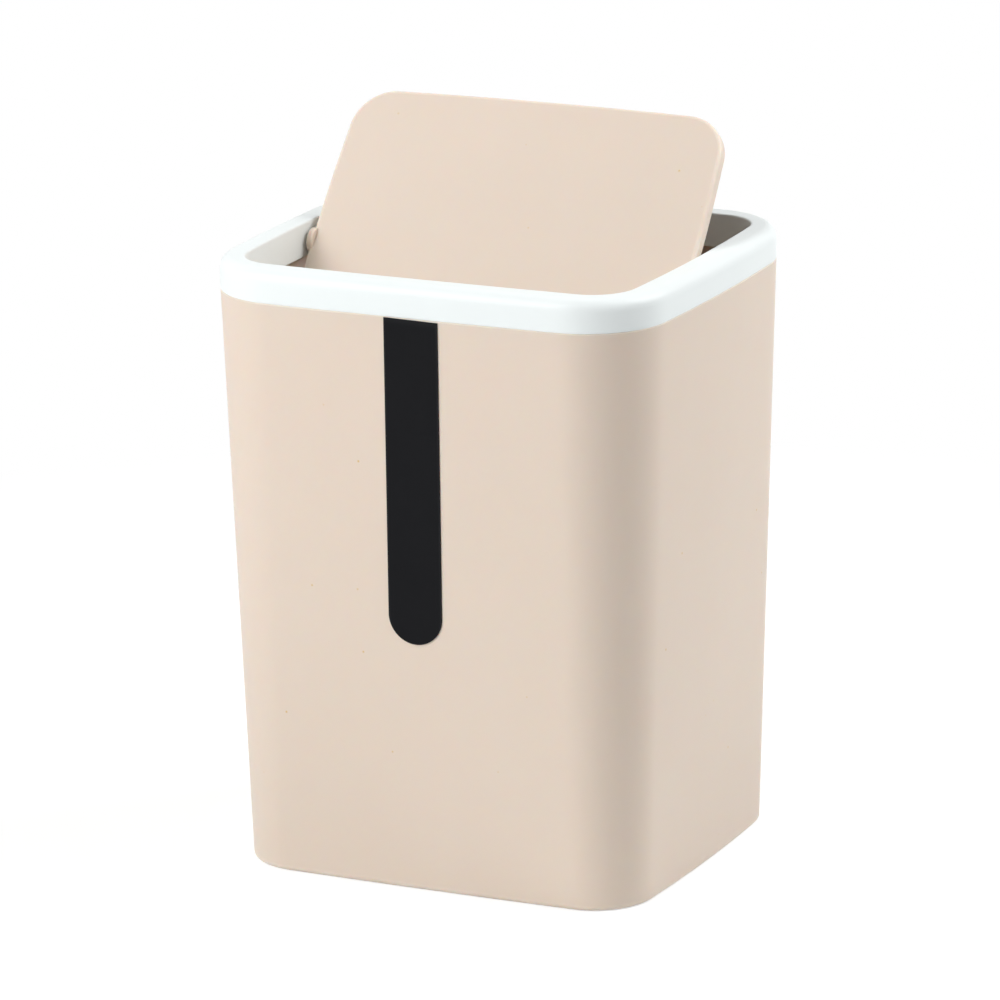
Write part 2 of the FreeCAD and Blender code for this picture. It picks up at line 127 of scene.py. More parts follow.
def shell(rows: Array, looped: bool = False) -> Surface:
    """Closes a grid of loops into a shell.

    Quad (i, j) joins points j and j + 1 of loop i to those of loop i + 1, and j wraps round. A
    looped shell joins its last loop to its first. Otherwise each end closes on a pole, the mean of
    its end loop, by a fan of triangles.

    Args:
        rows: Points by loop, place along the loop and axis.
        looped: Whether the last loop meets the first.

    Returns:
        The closed surface, facing outwards if the loops run anticlockwise about their advance.
    """
    count, around = rows.shape[:2]
    index = np.arange(count * around).reshape(count, around)
    lower = index if looped else index[:-1]
    upper = np.roll(index, -1, axis=0) if looped else index[1:]
    corners = [lower, np.roll(lower, -1, axis=1), np.roll(upper, -1, axis=1), upper]
    quads = np.stack(corners, axis=-1).reshape(-1, 4)
    points = rows.reshape(-1, 3)
    if looped:
        return Surface(points, quads)
    poles = np.stack([rows[0].mean(axis=0), rows[-1].mean(axis=0)])
    first, last = np.full(around, len(points)), np.full(around, len(points) + 1)
    start = np.stack([first, np.roll(index[0], -1), index[0]], axis=-1)
    finish = np.stack([last, index[-1], np.roll(index[-1], -1)], axis=-1)
    return Surface(np.vstack([points, poles]), quads, np.vstack([start, finish]))


def plate(*axes: Array) -> Surface:
    """Closes two like outlines into a plate: quads between them and a many-sided face on each.

    Args:
        *axes: X, Y and Z by outline and place along it, or one of the two where that is enough.

    Returns:
        The closed surface.
    """
    rows = np.stack(np.broadcast_arrays(*axes), axis=-1)
    first, last = np.arange(rows.shape[0] * rows.shape[1]).reshape(rows.shape[:2])
    quads = np.stack([first, np.roll(first, -1), np.roll(last, -1), last], axis=-1)
    return Surface(rows.reshape(-1, 3), quads, caps=[first[::-1].tolist(), last.tolist()])


def rounded_section(
    corners: list, radii: list, closed: bool = False, steps: int = 6, guard: float = 0.25
) -> Array:
    """Rounds the corners of a section.

    At each corner the run turns by an angle a. The round of radius r starts r tan(a / 2) before the
    corner, its centre lies r to the inside, and its points are the start turned about the centre by
    equal shares of a. A guard point on the straight run at each end keeps the flats flat.

    Args:
        corners: Section corners: offset, height, and any further values carried along.
        radii: The round at each corner; the two ends of an open section keep theirs at nothing.
        closed: Whether the last corner runs on to the first.
        steps: Spans in each round.
        guard: How far past the round the guard points lie.

    Returns:
        The section's points, with the further values of their corner.
    """
    corners = np.array(corners, float)
    ahead = np.roll(corners, -1, axis=0)[:, :2] - corners[:, :2]
    ahead = ahead / np.linalg.norm(ahead, axis=1, keepdims=True)
    behind = np.roll(ahead, 1, axis=0)
    inner = slice(None) if closed else slice(1, -1)
    ahead, behind, at = ahead[inner], behind[inner], corners[inner]
    radius = np.array(radii, float)[inner, None]
    cross = behind[:, :1] * ahead[:, 1:] - behind[:, 1:] * ahead[:, :1]
    turn = np.arctan2(cross, np.sum(behind * ahead, axis=1, keepdims=True))
    reach = radius * np.tan(np.abs(turn) / 2)
    side = np.sign(turn) * np.concatenate([-behind[:, 1:], behind[:, :1]], axis=1)
    start = at[:, :2] - behind * reach
    centre = start + side * radius
    angle = (turn * np.linspace(0, 1, steps + 1))[..., None]
    spoke = (start - centre)[:, None, :]
    out, up = spoke[..., :1], spoke[..., 1:]
    cosine, sine = np.cos(angle), np.sin(angle)
    swung = np.concatenate([out * cosine - up * sine, out * sine + up * cosine], axis=-1)
    arcs = centre[:, None, :] + swung
    before = (start - behind * guard)[:, None, :]
    after = (at[:, :2] + ahead * (reach + guard))[:, None, :]
    points = np.concatenate([before, arcs, after], axis=1)
    carried = np.repeat(at[:, None, 2:], points.shape[1], axis=1)
    points = np.concatenate([points, carried], axis=2).reshape(-1, corners.shape[1])
    return points if closed else np.vstack([corners[:1], points, corners[-1:]])


def revolved(section: Array, around: int) -> Surface:
    """Turns a section about the X axis.

    A point at place x and radius r goes round as (x, r cos t, r sin t). The section starts and ends
    near the axis, where poles close it.

    Args:
        section: Place along the axis and radius.
        around: Points round the axis.

    Returns:
        The closed surface.
    """
    angle = np.linspace(0, 2 * math.pi, around, endpoint=False)
    place, radius = section[:, :1], section[:, 1:2]
    rows = [place + 0 * angle, radius * np.cos(angle), radius * np.sin(angle)]
    return shell(np.stack(rows, axis=-1))


@dataclass(frozen=True)
class BowedPlan:
    """The plan that the tub, the ring, the mouth and the lid share.

    Four long arcs bow the sides and four short ones round the corners, each running smoothly on. An
    offset keeps the centres of the long arcs and changes their radii.
    """

    width: float = 125.0
    depth: float = 109.3
    corner: float = 21.5
    front_bow: float = 0.45
    side_bow: float = 0.85
    side_spans: int = 40
    corner_spans: int = 26

    def radius(self, length: float, bow: float) -> float:
        """Radius of a long arc, from its half chord and its bow."""
        return ((length / 2 - self.corner) ** 2 + bow**2) / (2 * bow)

    def front_face(self, across: Array, offset: Array) -> Array:
        """Place of the front along Y, at places along X and offsets outwards."""
        radius = self.radius(self.width, self.front_bow)
        return radius - self.depth / 2 - np.sqrt((radius + offset) ** 2 - across**2)

    def side_face(self, along: Array, offset: Array) -> Array:
        """Place of the right side along X, at places along Y and offsets outwards."""
        radius = self.radius(self.depth, self.side_bow)
        return np.sqrt((radius + offset) ** 2 - along**2) - (radius - self.width / 2)

    def loops(self, side: Array, end: Array, corner: Array) -> Array:
        """Works out the plan for each of several offsets.

        A corner's centre lies where a circle about the rear arc's centre, of the rear radius less
        the corner's, meets the like circle about the right arc's. Each arc is its centre plus its
        radius times the cosine and sine of evenly spaced angles. The second half of the loop is the
        first half turned about the middle.

        Args:
            side: Offset of the two sides, for each loop.
            end: Offset of the front and back, for each loop.
            corner: Radius of the corners, for each loop.

        Returns:
            Points by loop, place along it and axis, anticlockwise from above.
        """
        front = self.radius(self.width, self.front_bow)
        flank = self.radius(self.depth, self.side_bow)
        rear_middle = np.array([0.0, self.depth / 2 - front])
        right_middle = np.array([self.width / 2 - flank, 0.0])
        span = right_middle - rear_middle
        length = np.linalg.norm(span)
        step = span / length
        rear_reach, right_reach = front + end - corner, flank + side - corner
        along = (rear_reach**2 - right_reach**2 + length**2) / (2 * length)
        across = np.sqrt(rear_reach**2 - along**2)
        middle = rear_middle + np.outer(along, step) + np.outer(across, [step[1], -step[0]])
        rear_turn = np.arctan2(middle[:, 1] - rear_middle[1], middle[:, 0])
        side_turn = np.arctan2(middle[:, 1], middle[:, 0] - right_middle[0])

        def arc(centre: Array, radius: Array, first: Array, last: Array, spans: int) -> Array:
            """Points of an arc for every loop, without its last one."""
            share = np.arange(spans) / spans
            angle = first[:, None] + (last - first)[:, None] * share
            spoke = np.stack([np.cos(angle), np.sin(angle)], axis=-1)
            return np.reshape(centre, (-1, 1, 2)) + radius[:, None, None] * spoke

        mirrored = middle * [-1.0, 1.0]
        half = [
            arc(right_middle, flank + side, -side_turn, side_turn, self.side_spans),
            arc(middle, corner, side_turn, rear_turn, self.corner_spans),
            arc(rear_middle, front + end, rear_turn, math.pi - rear_turn, self.side_spans),
            arc(mirrored, corner, math.pi - rear_turn, math.pi - side_turn, self.corner_spans),
        ]
        first_half = np.concatenate(half, axis=1)
        return np.concatenate([first_half, -first_half], axis=1)

    def carried(self, side: Array, end: Array, corner: Array, height: Array) -> Array:
        """Carries a section round the plan: each of its points becomes one level loop."""
        flat = self.loops(side, end, corner)
        level = np.broadcast_to(height[:, None, None], flat.shape[:2] + (1,))
        return np.concatenate([flat, level], axis=2)


def closed_at_middles(rows: Array) -> Surface:
    """Closes carried loops: the first and the last are drawn in level by steps, then meet poles."""
    scale = np.array([[share, share, 1.0] for share in MIDDLE_SHARES])[:, None]
    return shell(np.concatenate([rows[0] * scale, rows, rows[-1] * scale[::-1]]))


# Meshes


def new_object(name: str, surface: Surface) -> bpy.types.Object:
    """Makes an object of a surface, in metres.

    Args:
        name: The object's and the mesh's name.
        surface: The surface to show.

    Returns:
        The object, linked to the scene.
    """
    mesh = bpy.data.meshes.new(name)
    faces = surface.quads.tolist() + surface.triangles.tolist() + surface.caps
    mesh.from_pydata((surface.points * MM).tolist(), [], faces)
    item = bpy.data.objects.new(name, mesh)
    bpy.context.scene.collection.objects.link(item)
    return item


def settle(item: bpy.types.Object) -> None:
    """Puts the result of an object's modifiers into its mesh and drops the modifiers."""
    graph = bpy.context.evaluated_depsgraph_get()
    made = bpy.data.meshes.new_from_object(item.evaluated_get(graph))
    old = item.data
    item.modifiers.clear()
    item.data = made
    made.name = item.name
    bpy.data.meshes.remove(old)


def combine(item: bpy.types.Object, surface: Surface, join: Join) -> None:
    """Adds a solid to an object or cuts it away, exactly, and keeps the result as its mesh.

    Args:
        item: The object that changes.
        surface: The solid to add or to cut away.
        join: Which of the two is done.
    """
    tool = new_object(f"{item.name}_tool", surface)
    modifier = item.modifiers.new("join", "BOOLEAN")
    modifier.operation = join.value
    modifier.solver = "EXACT"
    modifier.object = tool
    settle(item)
    bpy.data.meshes.remove(tool.data)


def mark_edges(mesh: bpy.types.Mesh, gentle: float = 0.12, tight: float = 0.9) -> None:
    """Writes how sharply the surface turns outwards at each vertex as attribute "edge", 0 to 1.

    Across a mesh edge the turn is the angle between its two faces, counted only where the second
    face lies below the plane of the first. Divided by the distance between the faces' middles it is
    a curvature, which is eased between two curvatures. A vertex takes the largest of its edges.

    Args:
        mesh: The finished mesh.
        gentle: Curvature, per millimetre, that still counts as flat.
        tight: Curvature, per millimetre, that counts in full.
    """
    def read(items: bpy.types.bpy_prop_collection, name: str, width: int, kind: type) -> Array:
        """Returns one property of all items, a row for each."""
        values = np.zeros(len(items) * width, kind)
        items.foreach_get(name, values)
        return values.reshape(-1, width)

    normal = read(mesh.polygons, "normal", 3, float)
    middle = read(mesh.polygons, "center", 3, float)
    sides = read(mesh.polygons, "loop_total", 1, int).ravel()
    loop_edge = read(mesh.loops, "edge_index", 1, int).ravel()
    ends = read(mesh.edges, "vertices", 2, int)
    owner = np.repeat(np.arange(len(sides)), sides)
    order = np.argsort(loop_edge, kind="stable")
    sorted_edges = loop_edge[order]
    paired = np.flatnonzero(sorted_edges[1:] == sorted_edges[:-1])
    one, two = owner[order[paired]], owner[order[paired + 1]]
    between = middle[two] - middle[one]
    bend = np.arccos(np.clip(np.sum(normal[one] * normal[two], axis=1), -1, 1))
    convex = np.sum(between * normal[one], axis=1) < 0
    curvature = np.where(convex, bend / (np.linalg.norm(between, axis=1) / MM + 1e-6), 0)
    share = np.clip((curvature - gentle) / (tight - gentle), 0, 1)
    eased = share * share * (3 - 2 * share)
    edge = np.zeros(len(mesh.vertices), np.float32)
    np.maximum.at(edge, ends[sorted_edges[paired]].ravel(), np.repeat(eased, 2))
    attribute = mesh.attributes.new("edge", "FLOAT", "POINT")
    attribute.data.foreach_set("value", edge)


def finish_mesh(item: bpy.types.Object, sharp: float = 32.0) -> None:
    """Smooths the shading up to an angle, in degrees, and marks the edges."""
    mesh = item.data
    mesh.validate()
    mesh.shade_smooth()
    mesh.set_sharp_from_angle(angle=math.radians(sharp))
    mark_edges(mesh)
    mesh.update()


def dress(item: bpy.types.Object, node: str, body: Body, material: Material) -> None:
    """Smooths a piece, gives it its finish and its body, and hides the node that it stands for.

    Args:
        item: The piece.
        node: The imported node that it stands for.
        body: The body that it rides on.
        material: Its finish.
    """
    finish_mesh(item)
    item.data.materials.clear()
    item.data.materials.append(material)
    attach(item, body.value)
    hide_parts(node)
    LOG.info("%s: %d faces, on %s", item.name, len(item.data.polygons), body.value)


# Finishes


@dataclass(frozen=True)
class Noise:
    """A noise: its size in millimetres, its layers of detail and the least value it is given."""

    size: float
    detail: float
    least: float = 0.0


# Soft waves under the grain, drifts of tone and gloss, and the broken stretches and nicks of the
# edge mask, which gives wear and, on the beige, a painted edge highlight
PEEL = Noise(3.0, 1.0)
TONE_DRIFT = Noise(26.0, 3.0)
GLOSS_DRIFT = Noise(9.0, 4.0)
RUBBED = Noise(12.0, 2.0, 0.4)
NICKS = Noise(0.9, 3.0, 0.8)
# Height of the waves against the grain's, and how far tone drifts are drawn out upwards
PEEL_SHARE = 1.5
TONE_DRAW = (1.0, 1.0, 0.35)


class NodeBoard:
    """A node tree with short ways to add nodes and to join them."""

    def __init__(self, tree: bpy.types.NodeTree) -> None:
        """Starts on an empty tree."""
        self.tree = tree
        tree.nodes.clear()

    def add(self, kind: str, values: dict | None = None, **settings: object) -> bpy.types.Node:
        """Adds a node.

        Args:
            kind: Blender's name for the node type.
            values: Values of its inputs, by name or number; a socket there is joined instead.
            **settings: Properties of the node itself.

        Returns:
            The node.
        """
        node = self.tree.nodes.new(kind)
        for name, setting in settings.items():
            setattr(node, name, setting)
        for name, given in (values or {}).items():
            if isinstance(given, Socket):
                self.tree.links.new(given, node.inputs[name])
            else:
                node.inputs[name].default_value = given
        return node

    def noise(self, place: Socket, noise: Noise) -> Socket:
        """Returns a noise as it comes."""
        values = {"Vector": place, "Scale": 1 / (noise.size * MM), "Detail": noise.detail}
        return self.add("ShaderNodeTexNoise", values).outputs["Fac"]

    def ramp(self, given: Socket, low: float, high: float, first: float, last: float) -> Socket:
        """Returns a value carried from the range low to high to the range first to last."""
        limits = {"From Min": low, "From Max": high, "To Min": first, "To Max": last}
        return self.add("ShaderNodeMapRange", {"Value": given, **limits}).outputs["Result"]

    def patches(self, place: Socket, noise: Noise) -> Socket:
        """Returns a noise spread from its least value up to 1."""
        return self.ramp(self.noise(place, noise), *NOISE_RANGE, noise.least, 1.0)

    def sum(self, kind: str, one: object, two: object) -> Socket:
        """Returns two numbers added, multiplied or otherwise reckoned together."""
        return self.add("ShaderNodeMath", {0: one, 1: two}, operation=kind).outputs[0]

    def blend(self, share: Socket, one: object, two: object) -> Socket:
        """Returns a colour between two, by a share."""
        node = self.add("ShaderNodeMix", {0: share, 6: one, 7: two}, data_type="RGBA")
        return node.outputs[2]


def new_group(
    name: str, value: str, results: tuple[str, ...]
) -> tuple[NodeBoard, Socket, Socket]:
    """Starts a node group that is given places and one number.

    Args:
        name: The group's name.
        value: Name of the input number; the places come in as Place.
        results: Names of the numbers that it puts out.

    Returns:
        The group's nodes, and the places and the number in it.
    """
    tree = bpy.data.node_groups.new(name, "ShaderNodeTree")
    sockets = tree.interface
    sockets.new_socket("Place", in_out="INPUT", socket_type="NodeSocketVector")
    sockets.new_socket(value, in_out="INPUT", socket_type="NodeSocketFloat")
    for result in results:
        sockets.new_socket(result, in_out="OUTPUT", socket_type="NodeSocketFloat")
    board = NodeBoard(tree)
    given = board.add("NodeGroupInput")
    return board, given.outputs["Place"], given.outputs[value]


def grain_group() -> bpy.types.NodeTree:
    """Builds the surface of a moulding: fine grain, drifts of tone and drifts of gloss.

    Returns:
        The group, with the inputs Place and Grain and the outputs Height, Tone and Gloss.
    """
    board, place, grain = new_group("moulded_grain", "Grain", ("Height", "Tone", "Gloss"))
    values = {"Vector": place, "Scale": grain, "Detail": 3.0, "Roughness": 0.6}
    fine = board.add("ShaderNodeTexNoise", values).outputs["Fac"]
    peel = board.noise(place, PEEL)
    height = board.sum("ADD", fine, board.sum("MULTIPLY", peel, PEEL_SHARE))
    drawn = board.add("ShaderNodeMapping", {"Vector": place, "Scale": TONE_DRAW})
    tone = board.patches(drawn.outputs[0], TONE_DRIFT)
    gloss = board.patches(place, GLOSS_DRIFT)
    board.add("NodeGroupOutput", {"Height": height, "Tone": tone, "Gloss": gloss})
    return board.tree


def wear_and_highlight_group() -> bpy.types.NodeTree:
    """Builds edge wear and a painted edge highlight: stretches of the edges that the mesh marks.

    Returns:
        The group, with the inputs Place and Edge and the output Wear.
    """
    board, place, edge = new_group("edge_wear_and_highlight", "Edge", ("WearAndHighlight",))
    broken = board.sum("MULTIPLY", board.patches(place, RUBBED), board.patches(place, NICKS))
    board.add("NodeGroupOutput", {"WearAndHighlight": board.sum("MULTIPLY", broken, edge)})
    return board.tree


@dataclass(frozen=True)
class Finish:
    """One surface finish, with the values that set it apart.

    Colours are linear and sizes are in millimetres. Tones are the lighter and the deeper drift of
    the colour. The edge colour lightens marked edges for wear, and on the beige it is also a
    painted highlight that brightens the rounds. A fleck is full within its core, a share of its
    size, and its cell's random number fades it in. Scatter is the share of light that goes
    through the plastic.
    """

    name: str
    light_tone: tuple[float, float, float]
    deep_tone: tuple[float, float, float]
    rubbed_and_highlight: tuple[float, float, float]
    roughness: tuple[float, float]
    rubbed_gloss: float
    grain_size: float
    grain_height: float
    grain_strength: float
    specular: float = 0.5
    fleck: tuple[float, float, float] | None = None
    fleck_spacing: float = 7.5
    fleck_size: float = 0.42
    fleck_core: float = 0.4
    fleck_choice: tuple[float, float] = (0.60, 0.80)
    scatter: float = 0.0
    scatter_reach: tuple[float, float, float] = (2.0, 0.8, 0.35)

    def material(self, grain: bpy.types.NodeTree, wear: bpy.types.NodeTree) -> Material:
        """Builds the material.

        The colour drifts between the two tones, lightens on marked edges, for wear and on the beige
        also as a painted highlight, and may carry a few flecks. The roughness drifts between two
        values and drops along the edge wear, and the grain is a bump.

        Args:
            grain: The group of the moulded grain.
            wear: The group of the edge wear, which on the beige is also a painted edge highlight.

        Returns:
            The material.
        """
        material = bpy.data.materials.new(self.name)
        material.use_nodes = True
        board = NodeBoard(material.node_tree)
        place = board.add("ShaderNodeTexCoord").outputs["Object"]
        edge = board.add("ShaderNodeAttribute", attribute_name="edge").outputs["Fac"]
        given = {"Place": place, "Grain": 1 / (self.grain_size * MM)}
        skin = board.add("ShaderNodeGroup", given, node_tree=grain)
        wear_and_highlight_node = board.add("ShaderNodeGroup", {"Place": place, "Edge": edge}, node_tree=wear)
        wear_and_highlight_mask = wear_and_highlight_node.outputs["WearAndHighlight"]

        colour = board.blend(skin.outputs["Tone"], (*self.deep_tone, 1), (*self.light_tone, 1))
        if self.fleck:
            colour = board.blend(self.flecks(board, place), colour, (*self.fleck, 1))
        # Marked edges take the lighter edge colour: wear, and on the beige also a painted highlight
        colour = board.blend(wear_and_highlight_mask, colour, (*self.rubbed_and_highlight, 1))
        drift = board.ramp(skin.outputs["Gloss"], 0, 1, *self.roughness)
        polish = board.sum("MULTIPLY", wear_and_highlight_mask, self.rubbed_gloss)
        roughness = board.sum("SUBTRACT", drift, polish)
        bump = board.add(
            "ShaderNodeBump",
            {"Height": skin.outputs["Height"], "Strength": self.grain_strength,
             "Distance": self.grain_height * MM},
        )
        shader = board.add(
            "ShaderNodeBsdfPrincipled",
            {"Base Color": colour, "Roughness": roughness, "Normal": bump.outputs["Normal"],
             "Specular IOR Level": self.specular, "Subsurface Weight": self.scatter,
             "Subsurface Radius": self.scatter_reach, "Subsurface Scale": MM},
        )
        board.add("ShaderNodeOutputMaterial", {"Surface": shader.outputs["BSDF"]})
        return material

    def flecks(self, board: NodeBoard, place: Socket) -> Socket:
        """Adds a few small flecks, each near the middle of its own cell, most cells left empty.

        Args:
            board: The material's nodes.
            place: Places on the piece.

        Returns:
            The share of the fleck's colour.
        """
        cells = board.add(
            "ShaderNodeTexVoronoi", {"Vector": place, "Scale": 1 / (self.fleck_spacing * MM)}
        )
        near = self.fleck_size / self.fleck_spacing
        spot = board.ramp(cells.outputs["Distance"], near * self.fleck_core, near, 1.0, 0.0)
        parts = board.add("ShaderNodeSeparateColor", {"Color": cells.outputs["Color"]})
        chosen = board.ramp(parts.outputs[0], *self.fleck_choice, 0.0, 1.0)
        return board.sum("MULTIPLY", spot, chosen)


BEIGE_PLASTIC = Finish(
    name="beige_satin_plastic",
    light_tone=(0.757, 0.645, 0.546),
    deep_tone=(0.750, 0.636, 0.535),
    # Lighter edge colour: wear, and a painted highlight that brightens the rounded edges
    rubbed_and_highlight=(0.855, 0.755, 0.655),
    roughness=(0.42, 0.48),
    rubbed_gloss=0.08,
    grain_size=0.45,
    grain_height=0.02,
    grain_strength=0.35,
    fleck=(0.68, 0.49, 0.20),
    scatter=0.25,
)
WHITE_PLASTIC = Finish(
    name="white_satin_plastic",
    light_tone=(0.868, 0.916, 0.914),
    deep_tone=(0.860, 0.910, 0.909),
    rubbed_and_highlight=(0.884, 0.922, 0.920),
    roughness=(0.42, 0.47),
    rubbed_gloss=0.04,
    grain_size=0.40,
    grain_height=0.012,
    grain_strength=0.12,
)
BLACK_FILM = Finish(
    name="black_film",
    light_tone=(0.0058, 0.0060, 0.0074),
    deep_tone=(0.0046, 0.0048, 0.0060),
    rubbed_and_highlight=(0.020, 0.020, 0.022),
    roughness=(0.58, 0.66),
    rubbed_gloss=0.10,
    grain_size=0.30,
    grain_height=0.015,
    grain_strength=0.30,
    specular=0.1,
)


# Pieces


@dataclass
class Tub:
    """The beige tub: drafted, with bowed sides, rounded corners and a hollow under its base."""

    plan: BowedPlan
    height: float = 153.3
    taper: float = 5.1
    wall: float = 1.8
    floor: float = 2.0
    recess: float = 1.0
    foot: float = 6.0
    base_round: float = 1.5
    recess_round: float = 0.4
    floor_round: float = 3.5
    seat_round: float = 0.22
    lip_round: float = 0.4
    panel: float = 4.0

    def lean(self, height: Array | float) -> Array | float:
        """How far the wall has leant in from the upper edge at a height."""
        return self.taper * (1 - height / self.height)

    def section(self) -> Array:
        """Returns the section: the hollow's ceiling, the foot, the wall and the floor inside."""
        hollow = -(self.taper + self.foot)
        floor_top = self.recess + self.floor
        inside = -(self.lean(floor_top) + self.wall)
        corners = [
            [hollow - self.panel, self.recess], [hollow, self.recess],
            [hollow, 0.0], [-self.taper, 0.0],
            [0.0, self.height], [-self.wall, self.height],
            [inside, floor_top], [inside - 2 * self.panel, floor_top],
        ]
        radii = [
            0, self.recess_round, self.recess_round, self.base_round,
            self.seat_round, self.lip_round, self.floor_round, 0,
        ]
        return rounded_section(corners, radii)

    def surface(self) -> Surface:
        """Returns the tub: its section carried round the plan and closed at both floors."""
        offset, level = self.section().T
        rows = self.plan.carried(offset, offset, self.plan.corner + offset, level)
        return closed_at_middles(rows)

    def build(self, material: Material) -> None:
        """Makes the tub and dresses it in its finish."""
        item = new_object("tub_moulding", self.surface())
        dress(item, "bin_body", Body.BIN, material)


@dataclass
class TopRing:
    """The white ring: an upturned channel with a skirt round the mouth, ribs and pivot sockets."""

    plan: BowedPlan
    tub: Tub
    height: float = 8.6
    width: float = 7.4
    wall: float = 1.8
    web: float = 1.8
    skirt_wall: float = 1.6
    skirt_depth: float = 9.1
    mouth_corner: float = 11.2
    shoulder: float = 3.0
    mouth_round: float = 0.5
    seat_round: float = 0.22
    skirt_round: float = 0.3
    channel_round: float = 0.5
    rib: float = 1.4
    rib_reach: float = 5.5
    rib_clearance: float = 0.3
    rib_round: float = 0.5
    rib_shy: float = 0.1
    front_ribs: int = 4
    side_ribs: int = 2
    pivot_drop: float = 5.3
    bore: float = 1.83
    bore_depth: float = 2.2
    bore_start: float = 1.0
    bore_round: float = 0.1
    bore_points: int = 48
    socket_wall: float = 1.2
    overlap: float = 0.3

    def top(self) -> float:
        """Height of the ring's top."""
        return self.tub.height + self.height

    def pivot(self) -> float:
        """Height of the pivot axis."""
        return self.top() - self.pivot_drop

    def mouth_side(self) -> float:
        """Place of the mouth's right side along X."""
        return self.plan.width / 2 - self.width

    def section(self) -> Array:
        """Returns the channel section: up the outside, over and down the skirt, then back inside.

        The third value is how much tighter the corners run there than parallel to the tub.
        """
        seat, top = self.tub.height, self.top()
        under_web, skirt_foot = top - self.web, top - self.skirt_depth
        channel = -(self.width - self.skirt_wall)
        tighter = self.mouth_corner - (self.plan.corner - self.width)
        corners = [
            [0.0, seat, 0.0], [0.0, top, 0.0],
            [-self.width, top, tighter], [-self.width, skirt_foot, tighter],
            [channel, skirt_foot, tighter], [channel, under_web, tighter],
            [-self.wall, under_web, 0.0], [-self.wall, seat, 0.0],
        ]
        radii = [
            self.seat_round, self.shoulder, self.mouth_round, self.skirt_round,
            self.skirt_round, self.channel_round, self.channel_round, self.seat_round,
        ]
        return rounded_section(corners, radii, closed=True)

    def channel(self) -> Surface:
        """Returns the channel: its section carried round the plan and closed on itself."""
        offset, level, tighter = self.section().T
        corner = self.plan.corner + offset + tighter
        return shell(self.plan.carried(offset, offset, corner, level), looped=True)

    def rib_outline(self) -> Array:
        """Returns a rib's outline, offset and height, sunk a little into skirt, web and wall."""
        seat, top = self.tub.height, self.top()
        foot = seat - self.rib_reach
        channel = -(self.width - self.skirt_wall)
        skirt_foot = top - self.skirt_depth
        inside_tub = -(self.tub.lean(foot) + self.tub.wall + self.rib_clearance)
        in_wall = -(self.wall - self.overlap)
        in_web = top - self.web + self.overlap
        in_skirt = channel - self.overlap
        shy = self.rib_shy
        corners = [
            [channel + shy, foot], [inside_tub, foot],
            [inside_tub, seat + shy], [in_wall, seat + shy],
            [in_wall, in_web], [in_skirt, in_web],
            [in_skirt, skirt_foot + self.overlap], [channel + shy, skirt_foot + self.overlap],
        ]
        radii = [self.rib_round] * 2 + [HIDDEN_ROUND] * 6
        return rounded_section(corners, radii, closed=True, steps=FINE_STEPS, guard=FINE_GUARD)

    def rib_plate(self, at: float, along_x: bool) -> Surface:
        """Makes one rib: its outline drawn out to both faces of the plate.

        Args:
            at: Place of the rib's middle along its side.
            along_x: Whether that side runs along X, as the front does.

        Returns:
            The closed plate, at the front or on the right.
        """
        offset, level = self.rib_outline().T
        lie = self.plan.front_face if along_x else self.plan.side_face
        face = lie(np.array(at), offset)
        spread = np.array([[-0.5], [0.5]]) * self.rib + at
        return plate(spread, face, level) if along_x else plate(face, spread, level)

    def rib_row(self, length: float, count: int, along_x: bool) -> list[Surface]:
        """Returns the ribs of one side, evenly spread between its corners."""
        run = length / 2 - self.plan.corner
        places = run * ((2 * np.arange(count) + 1) / count - 1)
        return [self.rib_plate(at, along_x) for at in places]

    def plug(self, first: float, last: float, radius: float, last_round: float) -> Surface:
        """Makes a round plug about the pivot axis, on the right.

        Args:
            first: Where it starts, outwards from the mouth's side.
            last: Where it ends.
            radius: Its radius.
            last_round: The round at its end.

        Returns:
            The closed plug.
        """
        start, end = self.mouth_side() + first, self.mouth_side() + last
        corners = [[start, AXIS_RADIUS], [start, radius], [end, radius], [end, AXIS_RADIUS]]
        radii = [0, self.bore_round, last_round, 0]
        turned = revolved(rounded_section(corners, radii), self.bore_points)
        return turned.moved(np.eye(3), np.array([0, 0, self.pivot()]))

    def inner_features(self) -> Surface:
        """Returns the ribs on all four sides and the two socket collars."""
        ribs = self.rib_row(self.plan.width, self.front_ribs, True)
        ribs += self.rib_row(self.plan.depth, self.side_ribs, False)
        reach, outer = self.bore_depth + self.socket_wall, self.bore + self.socket_wall
        collar = self.plug(self.skirt_wall / 2, reach, outer, self.skirt_round)
        return reduce(Surface.joined, [*ribs, collar]).paired()

    def bores(self) -> Surface:
        """Returns the two blind holes that the lid's pins turn in."""
        return self.plug(-self.bore_start, self.bore_depth, self.bore, self.bore_round).paired()

    def build(self, material: Material) -> None:
        """Makes the ring and dresses it in its finish."""
        item = new_object("ring_moulding", self.channel())
        combine(item, self.inner_features(), Join.ADD)
        combine(item, self.bores(), Join.CUT)
        dress(item, "rim_ring", Body.RIM, material)


